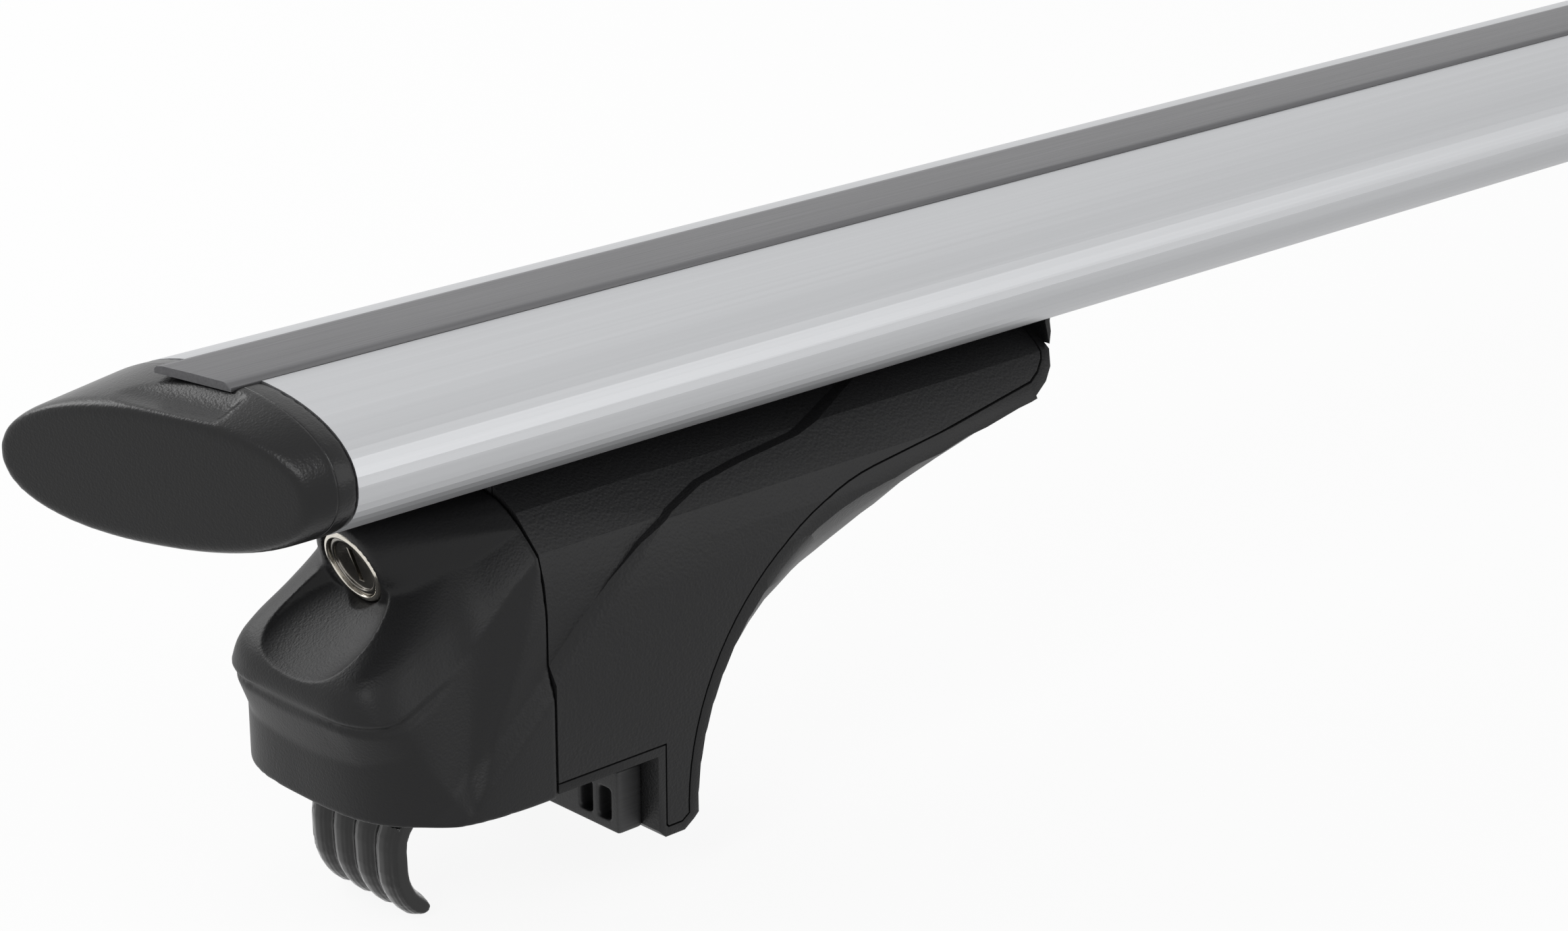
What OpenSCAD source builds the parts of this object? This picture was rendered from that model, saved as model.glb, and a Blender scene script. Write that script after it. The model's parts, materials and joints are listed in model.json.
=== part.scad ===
// Roof rack crossbar: an aluminium wing bar with a cushion strip, two swept end caps and two
// lockable clamp feet for raised roof rails. X runs along the bar, Y across it, Z points up.
// The origin lies midway between the feet, on the plane that the two clamp jaws stand on.

/* [Bar] */
// Length of the aluminium extrusion
bar_len = 1200; // [900:10:1500]
// Width of the wing section
bar_w = 80; // [76:1:86]
// Height of the wing section
bar_t = 32; // [31:0.5:35]
// Angle at which the wing noses up, in degrees
wing_pitch = 3; // [0:0.5:4]
// Wall of the wing section
bar_wall = 2.2; // [1.8:0.1:2.8]
// Mouth of the accessory channel in the top
top_mouth_w = 11; // [9:0.5:13]
// Inside width of the accessory channel
top_channel_w = 22; // [19:0.5:24]
// Mouth of the foot channel in the underside
low_mouth_w = 10; // [9:0.5:12]
// Inside width of the foot channel
low_channel_w = 18; // [16:0.5:20]

/* [Strip and caps] */
// Width of the cushion strip
strip_w = 20; // [17:0.5:22]
// Height of the strip above its seat
strip_t = 1.8; // [1.4:0.1:2.4]
// Reach of a cap past the bar end at its leading side
cap_reach_front = 8.5; // [8:0.5:12]
// Reach of a cap past the bar end at its trailing side
cap_reach_rear = 31; // [26:0.5:34]
// Length of the plugs that a cap pushes into the bar
cap_plug_len = 22; // [14:1:30]

/* [Foot] */
// Distance from the bar end to the joint between cover and foot body
foot_inset = 50; // [48:1:110]
// Length of the foot body from that joint to the tip of its arm
foot_len = 150; // [140:1:165]
// Width across the foot
foot_w = 72.5; // [70:0.5:74]
// Drop from the bar axis to the rim of the foot body
foot_drop = 78; // [76:0.5:82]
// Drop from the bar axis to the bottom of the inner leg
leg_drop = 97; // [94:0.5:102]
// Thickness of the inner leg at its bottom
leg_t = 9; // [8:0.5:11]
// Distance from the cover joint to the leg
leg_x = 27; // [26:0.5:30]
// Width of the rim left round a side panel
panel_rim = 2.4; // [2:0.2:3]

/* [Cover and lock] */
// Length of the cover from its joint to its tip
cover_len = 41.5; // [39:0.5:45]
// Wall of the cover
cover_wall = 2.6; // [2:0.2:3]
// Radius of the lock sleeve
lock_sleeve_r = 8.6; // [8:0.1:9]
// Radius of the lock barrel
lock_barrel_r = 7.1; // [6.5:0.1:7.4]
// Length of the lock sleeve
lock_len = 20; // [18:0.5:22]
// Downward tilt of the lock, in degrees
lock_tilt = 20; // [18:1:22]

/* [Clamp] */
// Width of the clamp jaw
jaw_w = 29; // [26:1:34]
// Thickness of the coated jaw plate
jaw_t = 4.4; // [4:0.2:5]
// Drop from the bar axis to the bottom of the jaw
jaw_drop = 108; // [106:0.5:113]
// Radius of the clamp bolt
bolt_r = 4; // [3.5:0.25:4.5]
// Length of the clamp bolt under its head
bolt_len = 45; // [42:1:48]
// Thickness of the rubber pad on the leg
leg_pad_t = 6.5; // [5:0.5:8]
// Thickness of the rubber pad that sits on the rail
rail_pad_t = 3; // [2:0.25:4]

/* [Hidden] */

$fn = 48;
// Overrun of a cut past the face that it opens
over = 1;
// Clearance between moulded pieces, and running clearance of a turning pin
fit = 0.3;
run_fit = 0.05;
// Quarter of the points in a wing outline
wing_steps = 16;

// Turns a table of shares into points measured in two sizes
function sized(shares, u, v) = [for (p = shares) [p[0] * u, p[1] * v]];

// Smooth curve through points, with n pieces between each pair
function bend(p, n) = let (last = len(p) - 1) concat(
    [for (i = [0:last - 1], k = [0:n - 1]) let (
        t = k / n,
        a = p[max(i - 1, 0)], b = p[i], c = p[i + 1], d = p[min(i + 2, last)])
     0.5 * (2 * b + (c - a) * t + (2 * a - 5 * b + 4 * c - d) * t * t
            + (3 * b - a - 3 * c + d) * t * t * t)],
    [p[last]]);

// Wing outline, an ellipse with fuller shoulders, moved inwards by inset
wing_full_share = 0.9;
function wing(inset) = [for (i = [0:4 * wing_steps - 1]) let (
    a = 90 * i / wing_steps,
    y = (bar_w / 2 - inset) * sign(cos(a)) * pow(abs(cos(a)), wing_full_share),
    z = (bar_t / 2 - inset) * sign(sin(a)) * pow(abs(sin(a)), wing_full_share))
  [y * cos(wing_pitch) + z * sin(wing_pitch), z * cos(wing_pitch) - y * sin(wing_pitch)]];

// Places: a 2D outline in Y and Z becomes a solid along X, one in X and Z a solid along Y
module along_x(from, to) {
    translate([from, 0, 0]) rotate([90, 0, 90]) linear_extrude(to - from) children();
}
module along_y(from, to) {
    translate([0, to, 0]) rotate([90, 0, 0]) linear_extrude(to - from) children();
}
module box_2d(y0, z0, y1, z1) {
    translate([y0, z0]) square([y1 - y0, z1 - z0]);
}

// Solid through rings of equal count, each ring a closed outline
module ring_loft(rings) {
    n = len(rings[0]);
    last = len(rings) - 1;
    polyhedron(
        points = [for (r = rings, p = r) p],
        faces = concat(
            [[for (k = [0:n - 1]) k]],
            [for (i = [0:last - 1], k = [0:n - 1]) each [
                [i * n + k, (i + 1) * n + k, i * n + (k + 1) % n],
                [i * n + (k + 1) % n, (i + 1) * n + k, (i + 1) * n + (k + 1) % n]]],
            [[for (k = [n - 1:-1:0]) last * n + k]]));
}

// Bar
slot_lip = 3;
slot_depth = 7;
slot_wall = 2;
seat_share = 0.3;
seat_z = bar_t / 2 - seat_share * bar_wall;
top_floor = seat_z - slot_lip - slot_depth;
low_face_share = 0.25;
low_face = -bar_t / 2 + low_face_share * bar_wall;
low_roof = low_face + slot_lip + slot_depth;
strip_seat_w = strip_w + 2 * fit;

module bar_section() {
    difference() {
        polygon(wing(0));
        difference() {
            polygon(wing(bar_wall));
            box_2d(-top_channel_w / 2 - slot_wall, top_floor - slot_wall,
                   top_channel_w / 2 + slot_wall, bar_t);
            box_2d(-low_channel_w / 2 - slot_wall, -bar_t,
                   low_channel_w / 2 + slot_wall, low_roof + slot_wall);
            box_2d(-slot_wall / 2, -bar_t / 2, slot_wall / 2, bar_t / 2);
        }
        box_2d(-strip_seat_w / 2, seat_z, strip_seat_w / 2, bar_t);
        box_2d(-top_mouth_w / 2, top_floor, top_mouth_w / 2, bar_t);
        box_2d(-top_channel_w / 2, top_floor, top_channel_w / 2, seat_z - slot_lip);
        box_2d(-low_mouth_w / 2, -bar_t, low_mouth_w / 2, low_roof);
        box_2d(-low_channel_w / 2, low_face + slot_lip, low_channel_w / 2, low_roof);
    }
}

module bar() {
    color("silver") along_x(-bar_len / 2, bar_len / 2) bar_section();
}

// The cushion strip has a crowned top and two barbed legs that snap into the channel mouth
sweep_angle = atan((cap_reach_rear - cap_reach_front) / bar_w);
strip_over_front = 7;
strip_sweep = 11;
strip_over_mid = strip_over_front + strip_w / 2 * tan(strip_sweep);
leg_wall = 1.6;
barb = 0.9;
strip_leg_depth = slot_lip + 2 * barb;
strip_profile_shares = [[-0.5, 0], [-0.5, 0.45], [-0.47, 0.8], [-0.4, 0.95], [0, 1],
                        [0.4, 0.95], [0.47, 0.8], [0.5, 0.45], [0.5, 0]];

module strip_leg() {
    out = top_mouth_w / 2 - fit;
    polygon([[out, over / 2], [out, -slot_lip - fit], [out + barb, -slot_lip - fit],
             [out - leg_wall / 2, -strip_leg_depth - fit], [out - leg_wall, -strip_leg_depth - fit],
             [out - leg_wall, over / 2]]);
}

module strip_end_cut() {
    translate([bar_len / 2 + strip_over_mid, 0, 0]) rotate([0, 0, -strip_sweep])
        translate([0, -bar_w, -bar_t]) cube([bar_t, 2 * bar_w, 2 * bar_t]);
}

module cushion_strip() {
    color("dimgray") difference() {
        translate([0, 0, seat_z]) union() {
            along_x(-bar_len / 2 - 2 * strip_over_mid, bar_len / 2 + 2 * strip_over_mid)
                polygon(sized(strip_profile_shares, strip_w, strip_t));
            along_x(-bar_len / 2 + cap_plug_len + over, bar_len / 2 - cap_plug_len - over) {
                strip_leg();
                mirror([1, 0, 0]) strip_leg();
            }
        }
        strip_end_cut();
        mirror([1, 0, 0]) strip_end_cut();
    }
}

// A cap continues the wing, sinks behind the strip in a shallow scoop and ends in a swept face.
// It is drawn at the left end, with x = 0 at the end of the bar.
cap_collar = 4.6;
cap_edge = 3;
cap_soft = 0.6;
cap_drop = 3;
cap_scoop_r = 16;
cap_scoop_x = -strip_over_mid - sqrt(cap_drop * (2 * cap_scoop_r - cap_drop));
cap_mid_reach = (cap_reach_front + cap_reach_rear) / 2;
cap_plug_inset = bar_wall + fit;
cap_floor = 3;

// Thin slice of the wing, turned with the sweep, at a distance out from the bar end
module cap_slice(reach, inset, drop, turn) {
    translate([-reach, 0, -drop]) rotate([0, 0, turn])
        along_x(-over / 2, 0) polygon([for (p = wing(inset)) [p[0], p[1] * (1 - drop / bar_t)]]);
}

module cap_scoop() {
    translate([cap_scoop_x, 0, seat_z + cap_scoop_r - cap_drop])
        rotate([0, 0, strip_sweep]) rotate([90, 0, 0])
            cylinder(r = cap_scoop_r, h = strip_w + 4 * cap_edge, center = true, $fn = 180);
}

module end_cap() {
    color([0.16, 0.16, 0.17]) difference() {
        union() {
            difference() {
                hull() {
                    along_x(-cap_collar, 0) polygon(wing(0));
                    cap_slice(cap_mid_reach - cap_edge, cap_soft, cap_drop / 2, sweep_angle);
                    cap_slice(cap_mid_reach - cap_soft, cap_edge / 2, cap_drop / 2, sweep_angle);
                    cap_slice(cap_mid_reach, cap_edge, cap_drop / 2, sweep_angle);
                }
                along_x(-cap_collar + over, over) polygon(wing(cap_floor));
            }
            // Plugs in the two side chambers of the bar
            for (s = [-1, 1]) along_x(-cap_collar, cap_plug_len) intersection() {
                polygon(wing(cap_plug_inset));
                translate([s * (top_channel_w / 2 + slot_wall + fit + (s > 0 ? 0 : bar_w)), -bar_t])
                    square([bar_w, 2 * bar_t]);
            }
        }
        // Seat of the strip end
        along_x(-3 * strip_over_mid, over)
            box_2d(-strip_seat_w / 2, seat_z, strip_seat_w / 2, bar_t);
        cap_scoop();
    }
}

// The foot is drawn at the left end of the bar, with x = 0 at the joint between cover and body,
// x growing towards the middle of the bar and z = 0 on the bar axis.
foot_hw = foot_w / 2;
step_t = 2.3;
rail_z = -foot_drop;
keel_x = 98.5;
keel_r = 60.8;
keel_z = -92.2;
keel_depth = 27;
keel_rise = 6.4;
panel_gap = 0.4;

// Half sections across the foot: upright sides, a shoulder and a neck under the wing
neck_share = 0.475;
low_shares = [[neck_share, 0], [neck_share, -0.186], [0.73, -0.244], [0.93, -0.346],
              [0.98, -0.423], [1, -0.51], [1, -2]];
high_shares = [[neck_share, 0], [neck_share, -0.205], [0.67, -0.256], [0.867, -0.346],
               [0.915, -0.423], [0.935, -0.504], [0.935, -2]];
core_shares = [[neck_share, 0], [neck_share, -0.243], [0.645, -0.295], [0.8, -0.378],
               [0.845, -0.449], [0.862, -0.526], [0.862, -2]];

// Whole section from a half one, moved inwards by inset
module foot_section(shares, inset) {
    half = [for (p = shares) [p[0] * foot_hw - inset, p[1] * foot_drop - inset / 2]];
    last = len(half) - 1;
    polygon(concat(half, [for (i = [last:-1:0]) [-half[i][0], half[i][1]]]));
}

// Accent line: the side stands proud by one step on its lower, inboard side
accent_shares = [[-0.4, -1.45], [-0.21, -1.03], [-0.155, -0.94], [-0.105, -0.84], [-0.052, -0.732],
                 [0, -0.645], [0.055, -0.548], [0.11, -0.461], [0.165, -0.39], [0.23, -0.334],
                 [0.3, -0.298], [0.38, -0.28], [0.5, -0.262], [0.66, -0.2], [0.8, -0.12],
                 [1.3, 0.3], [1.3, -1.45]];
accent_focus_share = [0.45, -1.45];
accent_taper_share = 0.955;

module accent_side() {
    focus = sized([accent_focus_share], foot_len, foot_drop)[0];
    along_y(-foot_hw + step_t, 0) polygon(sized(accent_shares, foot_len, foot_drop));
    translate([focus[0], -foot_hw + step_t, focus[1]]) rotate([90, 0, 0])
        linear_extrude(step_t + over, scale = accent_taper_share)
            polygon([for (p = sized(accent_shares, foot_len, foot_drop)) p - focus]);
}

// Fuller section of the lip that closes the end of the arm under the wing
tip_shares = [[0.68, 0], [0.68, -0.17], [0.73, -0.244], [0.867, -0.346], [0.867, -2]];
tip_x_share = 1.036;

// Outer form of body and panels, from one x to another
module foot_form(from, to) {
    along_x(from, to) foot_section(high_shares, 0);
    intersection() {
        along_x(from, to) foot_section(low_shares, 0);
        union() {
            accent_side();
            mirror([0, 1, 0]) accent_side();
        }
    }
}

// Side view of the body: joint, leg, a line beyond the keel, and the end of the arm
leg_end = leg_x + leg_t;
under_shares = [[0.3, -0.907], [0.4, -0.784], [0.533, -0.732], [0.653, -0.701], [0.8, -0.598],
                [0.933, -0.43], [0.96, -0.27], [0.993, -0.2505], [1.017, -0.227], [1.033, -0.196],
                [1.044, -0.16], [1.047, -0.124], [1.047, -0.02]];
arm_end_share = 1.2;
module side_view() {
    edge = leg_t / 5;
    polygon(concat(
        [[0, -bar_t / 16], [0, rail_z], [leg_x, rail_z], [leg_x, -leg_drop + edge],
         [leg_x + edge, -leg_drop], [leg_end - edge, -leg_drop], [leg_end + edge / 2, -leg_drop + edge]],
        sized(under_shares, foot_len, leg_drop)));
}

// Rounded hollow under the arm. It sweeps round the leg and runs out along the arm, and its
// section leaves a keel along the middle, deepest at the root of the arm.
keel_steps = 8;
arch_turns = 16;
arch_angle = 100;
keel_core_share = 0.25;
keel_full_share = 0.8;
// Depth of the keel, as a share of the deepest, along the run by share of the length and round
// the leg by share of the turn
run_shares = [[0, 0.92], [0.033, 0.85], [0.133, 0.55], [0.233, 0.3], [0.333, 0.15], [0.45, 0.05],
              [1, 0.05]];
turn_shares = [[0, 0.92], [0.1, 1], [0.3, 0.96], [0.5, 0.67], [0.7, 0.37], [0.9, 0.15], [1, 0.05]];
function keel_outline(deep_share, core, wide) = concat(
    [[core, -wide]],
    [for (i = [-keel_steps:keel_steps]) let (t = i / keel_steps)
      [keel_r - keel_depth * deep_share * pow(cos(90 * t), keel_full_share), t * wide]],
    [[core, wide]]);

module arch_cut() {
    wide = foot_hw + over;
    core = keel_r * keel_core_share;
    translate([keel_x, 0, keel_z]) rotate([0, -keel_rise, 0]) ring_loft(concat(
        [for (i = [len(run_shares) - 1:-1:1]) let (s = run_shares[i])
          [for (p = keel_outline(s[1], core, wide)) [s[0] * foot_len, p[1], p[0]]]],
        [for (i = [0:arch_turns]) let (
            a = 90 + arch_angle * i / arch_turns)
          [for (p = keel_outline(lookup(i / arch_turns, turn_shares), core, wide))
            [p[0] * cos(a), p[1], p[0] * sin(a)]]]));
}

// Side view of a panel, grown by gap, inside an even rim
module panel_view(gap) {
    intersection() {
        offset(delta = gap - panel_rim) difference() {
            union() {
                side_view();
                translate([-foot_drop, rail_z]) square([foot_drop + over, foot_drop]);
            }
            translate([keel_x, keel_z]) rotate(keel_rise) {
                circle(r = keel_r, $fn = 96);
                translate([0, -keel_r]) square([foot_len, 2 * keel_r]);
            }
        }
        translate([-over, -2 * foot_drop]) square([2 * foot_len, 2 * foot_drop]);
    }
}

// Room for a panel outside the core of the body
module panel_room(gap) {
    difference() {
        along_y(-foot_w, 0) panel_view(gap);
        along_x(-2 * over, arm_end_share * foot_len) foot_section(core_shares, gap);
    }
}

module wing_cut(clear) {
    along_x(-2 * cover_len, 2 * foot_len) polygon(wing(-clear));
}

module panel_form() {
    intersection() {
        foot_form(0, arm_end_share * foot_len);
        panel_room(0);
    }
}

// The two panels of a foot differ under the wing, which noses up
module side_panel_front() {
    color([0.13, 0.13, 0.14]) difference() {
        panel_form();
        wing_cut(2 * fit);
    }
}

module side_panel_rear() {
    color([0.13, 0.13, 0.14]) difference() {
        mirror([0, 1, 0]) panel_form();
        wing_cut(2 * fit);
    }
}

// Clamp: positions shared by body, jaw, bolt and nut
bolt_z = -62;
jaw_gap = 14.6;
plate_share = 0.6;
plate_t = plate_share * jaw_t;
jaw_x = -jaw_gap - (jaw_t + plate_t) / 2;
jaw_top = bolt_z + 2 * bolt_r;
washer_t = 1.6;
head_t = 5;
bolt_head_share = 1.6;
socket_share = 0.7;
nut_s = 13;
nut_t = 6.5;
nut_x = 8;
clamp_travel = 10;
bore_spare = 2;
bolt_reach = bolt_len - washer_t + jaw_x;
cheek_t = 4;
cheek_z = bolt_z - 3 * bolt_r;
keeper_t = 3.4;
keeper_x = -4.8;
cam_t = 2.4;
cam_r = 14;
cam_hold = 2.2;

// Lock: centre of its face, and a frame whose z axis runs inwards along the barrel
lock_x = -23.4;
lock_z = -32.5;
module at_lock() {
    translate([lock_x, 0, lock_z]) rotate([0, 90 - lock_tilt, 0]) children();
}
lock_back = lock_x + lock_len * cos(lock_tilt);
lock_back_z = lock_z + lock_len * sin(lock_tilt);
keeper_top = lock_back_z - cam_r * cos(lock_tilt) + cam_hold;

// Screws that clamp the foot to the channel in the bar
screw_r = 4;
screw_head_r = 6.5;
screw_head_t = 8;
screw_len = 20.5;
screw_seat_z = -28;
screw_x_shares = [0.37, 0.82];
screw_places = [for (s = screw_x_shares) s * foot_len];
channel_nut_l = 24;
channel_nut_t = 5;

module foot_body() {
    color([0.12, 0.12, 0.13]) difference() {
        union() {
            difference() {
                intersection() {
                    union() {
                        foot_form(0, arm_end_share * foot_len);
                        along_x(tip_x_share * foot_len, arm_end_share * foot_len)
                            foot_section(tip_shares, 0);
                    }
                    along_y(-foot_w, foot_w) side_view();
                }
                arch_cut();
                panel_room(panel_gap);
                mirror([0, 1, 0]) panel_room(panel_gap);
                // Room behind the lock
                translate([-over, -cam_r - fit, lock_back_z - cam_r - over])
                    cube([over + 2 * cam_t, 2 * (cam_r + fit), foot_drop]);
            }
            // Cheeks that guide the jaw, joined by the keeper of the lock
            for (s = [-1, 1]) translate([jaw_x - head_t, s * (jaw_w / 2 + fit + cheek_t / 2) - cheek_t / 2,
                                         cheek_z])
                cube([-jaw_x + head_t + over, cheek_t, jaw_top + cheek_t / 2 - cheek_z]);
            translate([keeper_x, -jaw_w / 2 - fit - cheek_t, jaw_top + fit])
                cube([keeper_t, jaw_w + 2 * fit + 2 * cheek_t, keeper_top - jaw_top - fit]);
        }
        wing_cut(fit);
        // Clamp bolt bore and the pocket of its nut, open towards the rail
        translate([0, 0, bolt_z]) rotate([0, 90, 0])
            translate([0, 0, -over])
                cylinder(r = bolt_r + fit, h = over + bolt_reach + clamp_travel + bore_spare);
        translate([nut_x - fit / 2, -nut_s / 2 - fit, rail_z - over])
            cube([nut_t + fit, nut_s + 2 * fit, bolt_z + nut_s / 2 + fit - rail_z + over]);
        for (x = screw_places) translate([x, 0, 0]) {
            translate([0, 0, -leg_drop]) cylinder(r = screw_head_r + fit, h = leg_drop + screw_seat_z);
            translate([0, 0, -leg_drop]) cylinder(r = screw_r + fit, h = leg_drop);
        }
    }
}

// Cover: a U-shaped wall that rises from its rim to a crease, and a roof that falls from the
// joint to the tip. Crease and roof points are shares of its length, half width and drop.
plan_steps = 10;
plan_full_share = 0.63;
cover_drop = foot_drop + over;
crease_shares = [[0, 0.89, -0.346], [-0.15, 0.835, -0.43], [-0.37, 0.775, -0.575], [-0.6, 0.76, -0.655],
                 [-0.8, 0.74, -0.705], [-0.905, 0.65, -0.718], [-0.975, 0.47, -0.72], [-1, 0.22, -0.718]];
// The wall below the crease draws in by this much at the tip, down to the rim
cover_tuck = 3.5;
rim_len = cover_len - cover_tuck;
speck = 0.1;
roof_shares = [[-0.92, 0.53, -0.605], [-0.48, 0.54, -0.47]];
high_wall_share = 0.967;
function plan(half, inset) = concat([[0, half - inset]], [for (i = [0:2 * plan_steps]) let (
    a = 90 * i / plan_steps)
  [-(rim_len - inset) * pow(abs(sin(a)), plan_full_share),
   (half - inset) * sign(cos(a)) * pow(abs(cos(a)), plan_full_share)]], [[0, inset - half]]);

module cover_slab(shares, low, inset) {
    along_x(-fit, 0) intersection() {
        foot_section(shares, 0);
        translate([-foot_w, low]) square([2 * foot_w, -low - bar_t / 2 - inset]);
    }
}

module cover_hull(half, shares, inset) {
    hull() {
        translate([0, 0, -cover_drop]) linear_extrude(speck) polygon(plan(half, inset));
        cover_slab(shares, -cover_drop, inset);
        for (p = concat(crease_shares, roof_shares), s = [-1, 1])
            translate([p[0] * cover_len + inset, s * (p[1] * foot_hw - inset), p[2] * foot_drop - inset])
                cube(speck, center = true);
    }
}

// Housing of the lock, which grows out of the roof of the cover
module lock_housing(shares, inset) {
    hull() {
        at_lock() translate([0, 0, inset]) cylinder(r = lock_sleeve_r + cover_wall, h = fit, $fn = 32);
        cover_slab(shares, -foot_drop / 2, inset);
    }
}

// Shallow round dish in the roof of the cover, open towards the face of the lock
scoop_long = 16;
scoop_half = 14;
scoop_deep = 4.4;
scoop_x = -32.6;
scoop_z = -44.05;
scoop_slope = 30;
scoop_steps = 6;
scoop_points = 32;
scoop_turn = 84;
scoop_flare_share = 1.6;
function scoop_ring(grow, flat_share, z) = [for (k = [0:scoop_points - 1]) let (
    a = 360 * k / scoop_points)
  [(scoop_long + grow) * flat_share * cos(a), -(scoop_half + grow) * flat_share * sin(a), z]];
module scoop(grow) {
    intersection() {
        translate([scoop_x, 0, scoop_z]) rotate([0, -scoop_slope, 0]) ring_loft(concat(
            [scoop_ring(grow, scoop_flare_share, scoop_half)],
            [for (i = [0:scoop_steps]) let (t = scoop_turn * i / scoop_steps)
              scoop_ring(grow, cos(t), -(scoop_deep + grow) * sin(t))]));
        at_lock() translate([-foot_w, -foot_w, grow - foot_w]) cube([2 * foot_w, 2 * foot_w, foot_w]);
    }
}

module cover() {
    color([0.14, 0.14, 0.15]) difference() {
        union() {
            cover_hull(foot_hw * high_wall_share, high_shares, 0);
            lock_housing(high_shares, 0);
            intersection() {
                cover_hull(foot_hw, low_shares, 0);
                union() {
                    accent_side();
                    mirror([0, 1, 0]) accent_side();
                }
            }
        }
        difference() {
            union() {
                cover_hull(foot_hw * high_wall_share, core_shares, cover_wall);
                translate([0, 0, -cover_drop - over]) linear_extrude(2 * over)
                    polygon(plan(foot_hw * high_wall_share, cover_wall));
                for (x = [0, over]) translate([x, 0, 0])
                    cover_slab(core_shares, -cover_drop - over, cover_wall);
            }
            scoop(cover_wall);
            at_lock() cylinder(r = lock_sleeve_r + cover_wall, h = 3 * cover_wall);
        }
        scoop(0);
        at_lock() translate([0, 0, -lock_len]) cylinder(r = lock_sleeve_r + run_fit, h = 2 * lock_len);
        // Room for the cam, which turns from sideways to downwards
        at_lock() translate([-cam_w / 2 - fit, -cam_w / 2 - fit, lock_len - fit])
            cube([cam_room, cam_room, foot_w]);
        wing_cut(fit);
        translate([-fit / 2, -foot_w, -2 * foot_drop]) cube([foot_w, 2 * foot_w, 2 * foot_drop]);
    }
}

// Lock: sleeve with a bright rim, barrel with a keyway, and the cam behind it
rim_t = 1.2;
key_w = 1.5;
key_h = 8;
barrel_tail = 1.5;
cam_w = 9;
cam_square = 6;
cam_room = cam_r + cam_w / 2 + 2 * fit;

module lock_sleeve() {
    color([0.75, 0.74, 0.7]) at_lock() rotate_extrude()
        polygon([[lock_barrel_r + run_fit, 0], [lock_sleeve_r - rim_t / 2, 0], [lock_sleeve_r, rim_t / 2],
                 [lock_sleeve_r, lock_len], [lock_barrel_r + run_fit, lock_len]]);
}

module lock_barrel() {
    color([0.8, 0.79, 0.75]) at_lock() difference() {
        union() {
            translate([0, 0, rim_t / 2]) cylinder(r = lock_barrel_r, h = lock_len - rim_t / 2);
            translate([-cam_square / 2, -cam_square / 2, 0])
                cube([cam_square, cam_square, lock_len + barrel_tail]);
        }
        translate([-key_h / 2, -key_w / 2, -over]) cube([key_h, key_w, lock_len / 2]);
        // Shallow dished face
        translate([0, 0, -over]) cylinder(r = lock_barrel_r - rim_t, h = over + rim_t);
    }
}

module lock_cam() {
    color([0.55, 0.56, 0.58]) at_lock() translate([0, 0, lock_len]) difference() {
        union() {
            cylinder(r = cam_w / 2, h = cam_t);
            translate([-cam_w / 2, 0, 0]) cube([cam_w, cam_r - cam_w / 2, cam_t]);
            translate([0, cam_r - cam_w / 2, 0]) cylinder(r = cam_w / 2, h = cam_t);
        }
        translate([-cam_square / 2, -cam_square / 2, -over])
            cube([cam_square, cam_square, barrel_tail + over]);
    }
}

// Clamp jaw: a pressed steel plate whose lower part has a thick coat with four ribs, bows out
// round the rail and ends in a lip. Each profile follows one line down the middle of the jaw.
jaw_ribs = 4;
coat_top_share = 0.665;
// Width of a rib at each of its heights, as shares of the ribs' pitch and of the jaw's thickness
rib_shares = [[1, 0.36], [0.82, 0.46], [0.56, 0.55], [0.28, 0.6]];
inner_share = 0.9;
jaw_line_shares = [[0, -coat_top_share], [0, -0.7], [0, -0.745], [-0.25, -0.772], [-0.68, -0.789],
                   [-0.97, -0.822], [-1, -0.864], [-0.94, -0.909], [-0.7, -0.945], [-0.38, -0.969],
                   [-0.08, -0.98]];
jaw_line = sized(jaw_line_shares, jaw_gap / 2, jaw_drop);
// Thickness at the last two points of the lip
lip_shares = [0.85, 0.45];
jaw_path = concat([jaw_line[0]], bend([for (i = [1:len(jaw_line) - 1]) jaw_line[i]], 2));

function unit(v) = v / norm(v);
function path_normal(p, i) = let (
    d = unit(p[min(i + 1, len(p) - 1)] - p[max(i - 1, 0)])) [d[1], -d[0]];
function jaw_side(half, side) = let (last = len(jaw_path) - 1) [for (i = [0:last]) let (
    ending = i < last - 1 ? 1 : lip_shares[i - last + 1],
    p = jaw_path[i] + side * half * ending * path_normal(jaw_path, i))
  [p[0] - jaw_gap - jaw_t / 2, max(p[1], -jaw_drop)]];
module jaw_profile(half) {
    inner = jaw_side(half * inner_share, -1);
    polygon(concat(jaw_side(half, 1), [for (i = [len(inner) - 1:-1:0]) inner[i]]));
}

module clamp_jaw() {
    pitch = jaw_w / jaw_ribs;
    color([0.07, 0.07, 0.08]) {
        for (r = rib_shares, k = [1:jaw_ribs]) let (
            y = (k - 0.5) * pitch - jaw_w / 2, half_w = r[0] * pitch / 2)
            along_y(y - half_w, y + half_w) jaw_profile(r[1] * jaw_t);
        difference() {
            translate([jaw_x, fit - jaw_w / 2, -coat_top_share * jaw_drop - over])
                cube([plate_t, jaw_w - 2 * fit, jaw_top + coat_top_share * jaw_drop + over]);
            translate([jaw_x - over, 0, bolt_z]) rotate([0, 90, 0])
                cylinder(r = bolt_r + fit, h = plate_t + 2 * over);
        }
    }
}

module bolt_washer() {
    color("silver") translate([jaw_x - washer_t, 0, bolt_z]) rotate([0, 90, 0]) difference() {
        cylinder(r = 2 * bolt_r, h = washer_t);
        translate([0, 0, -over]) cylinder(r = bolt_r + run_fit, h = washer_t + 2 * over);
    }
}

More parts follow.
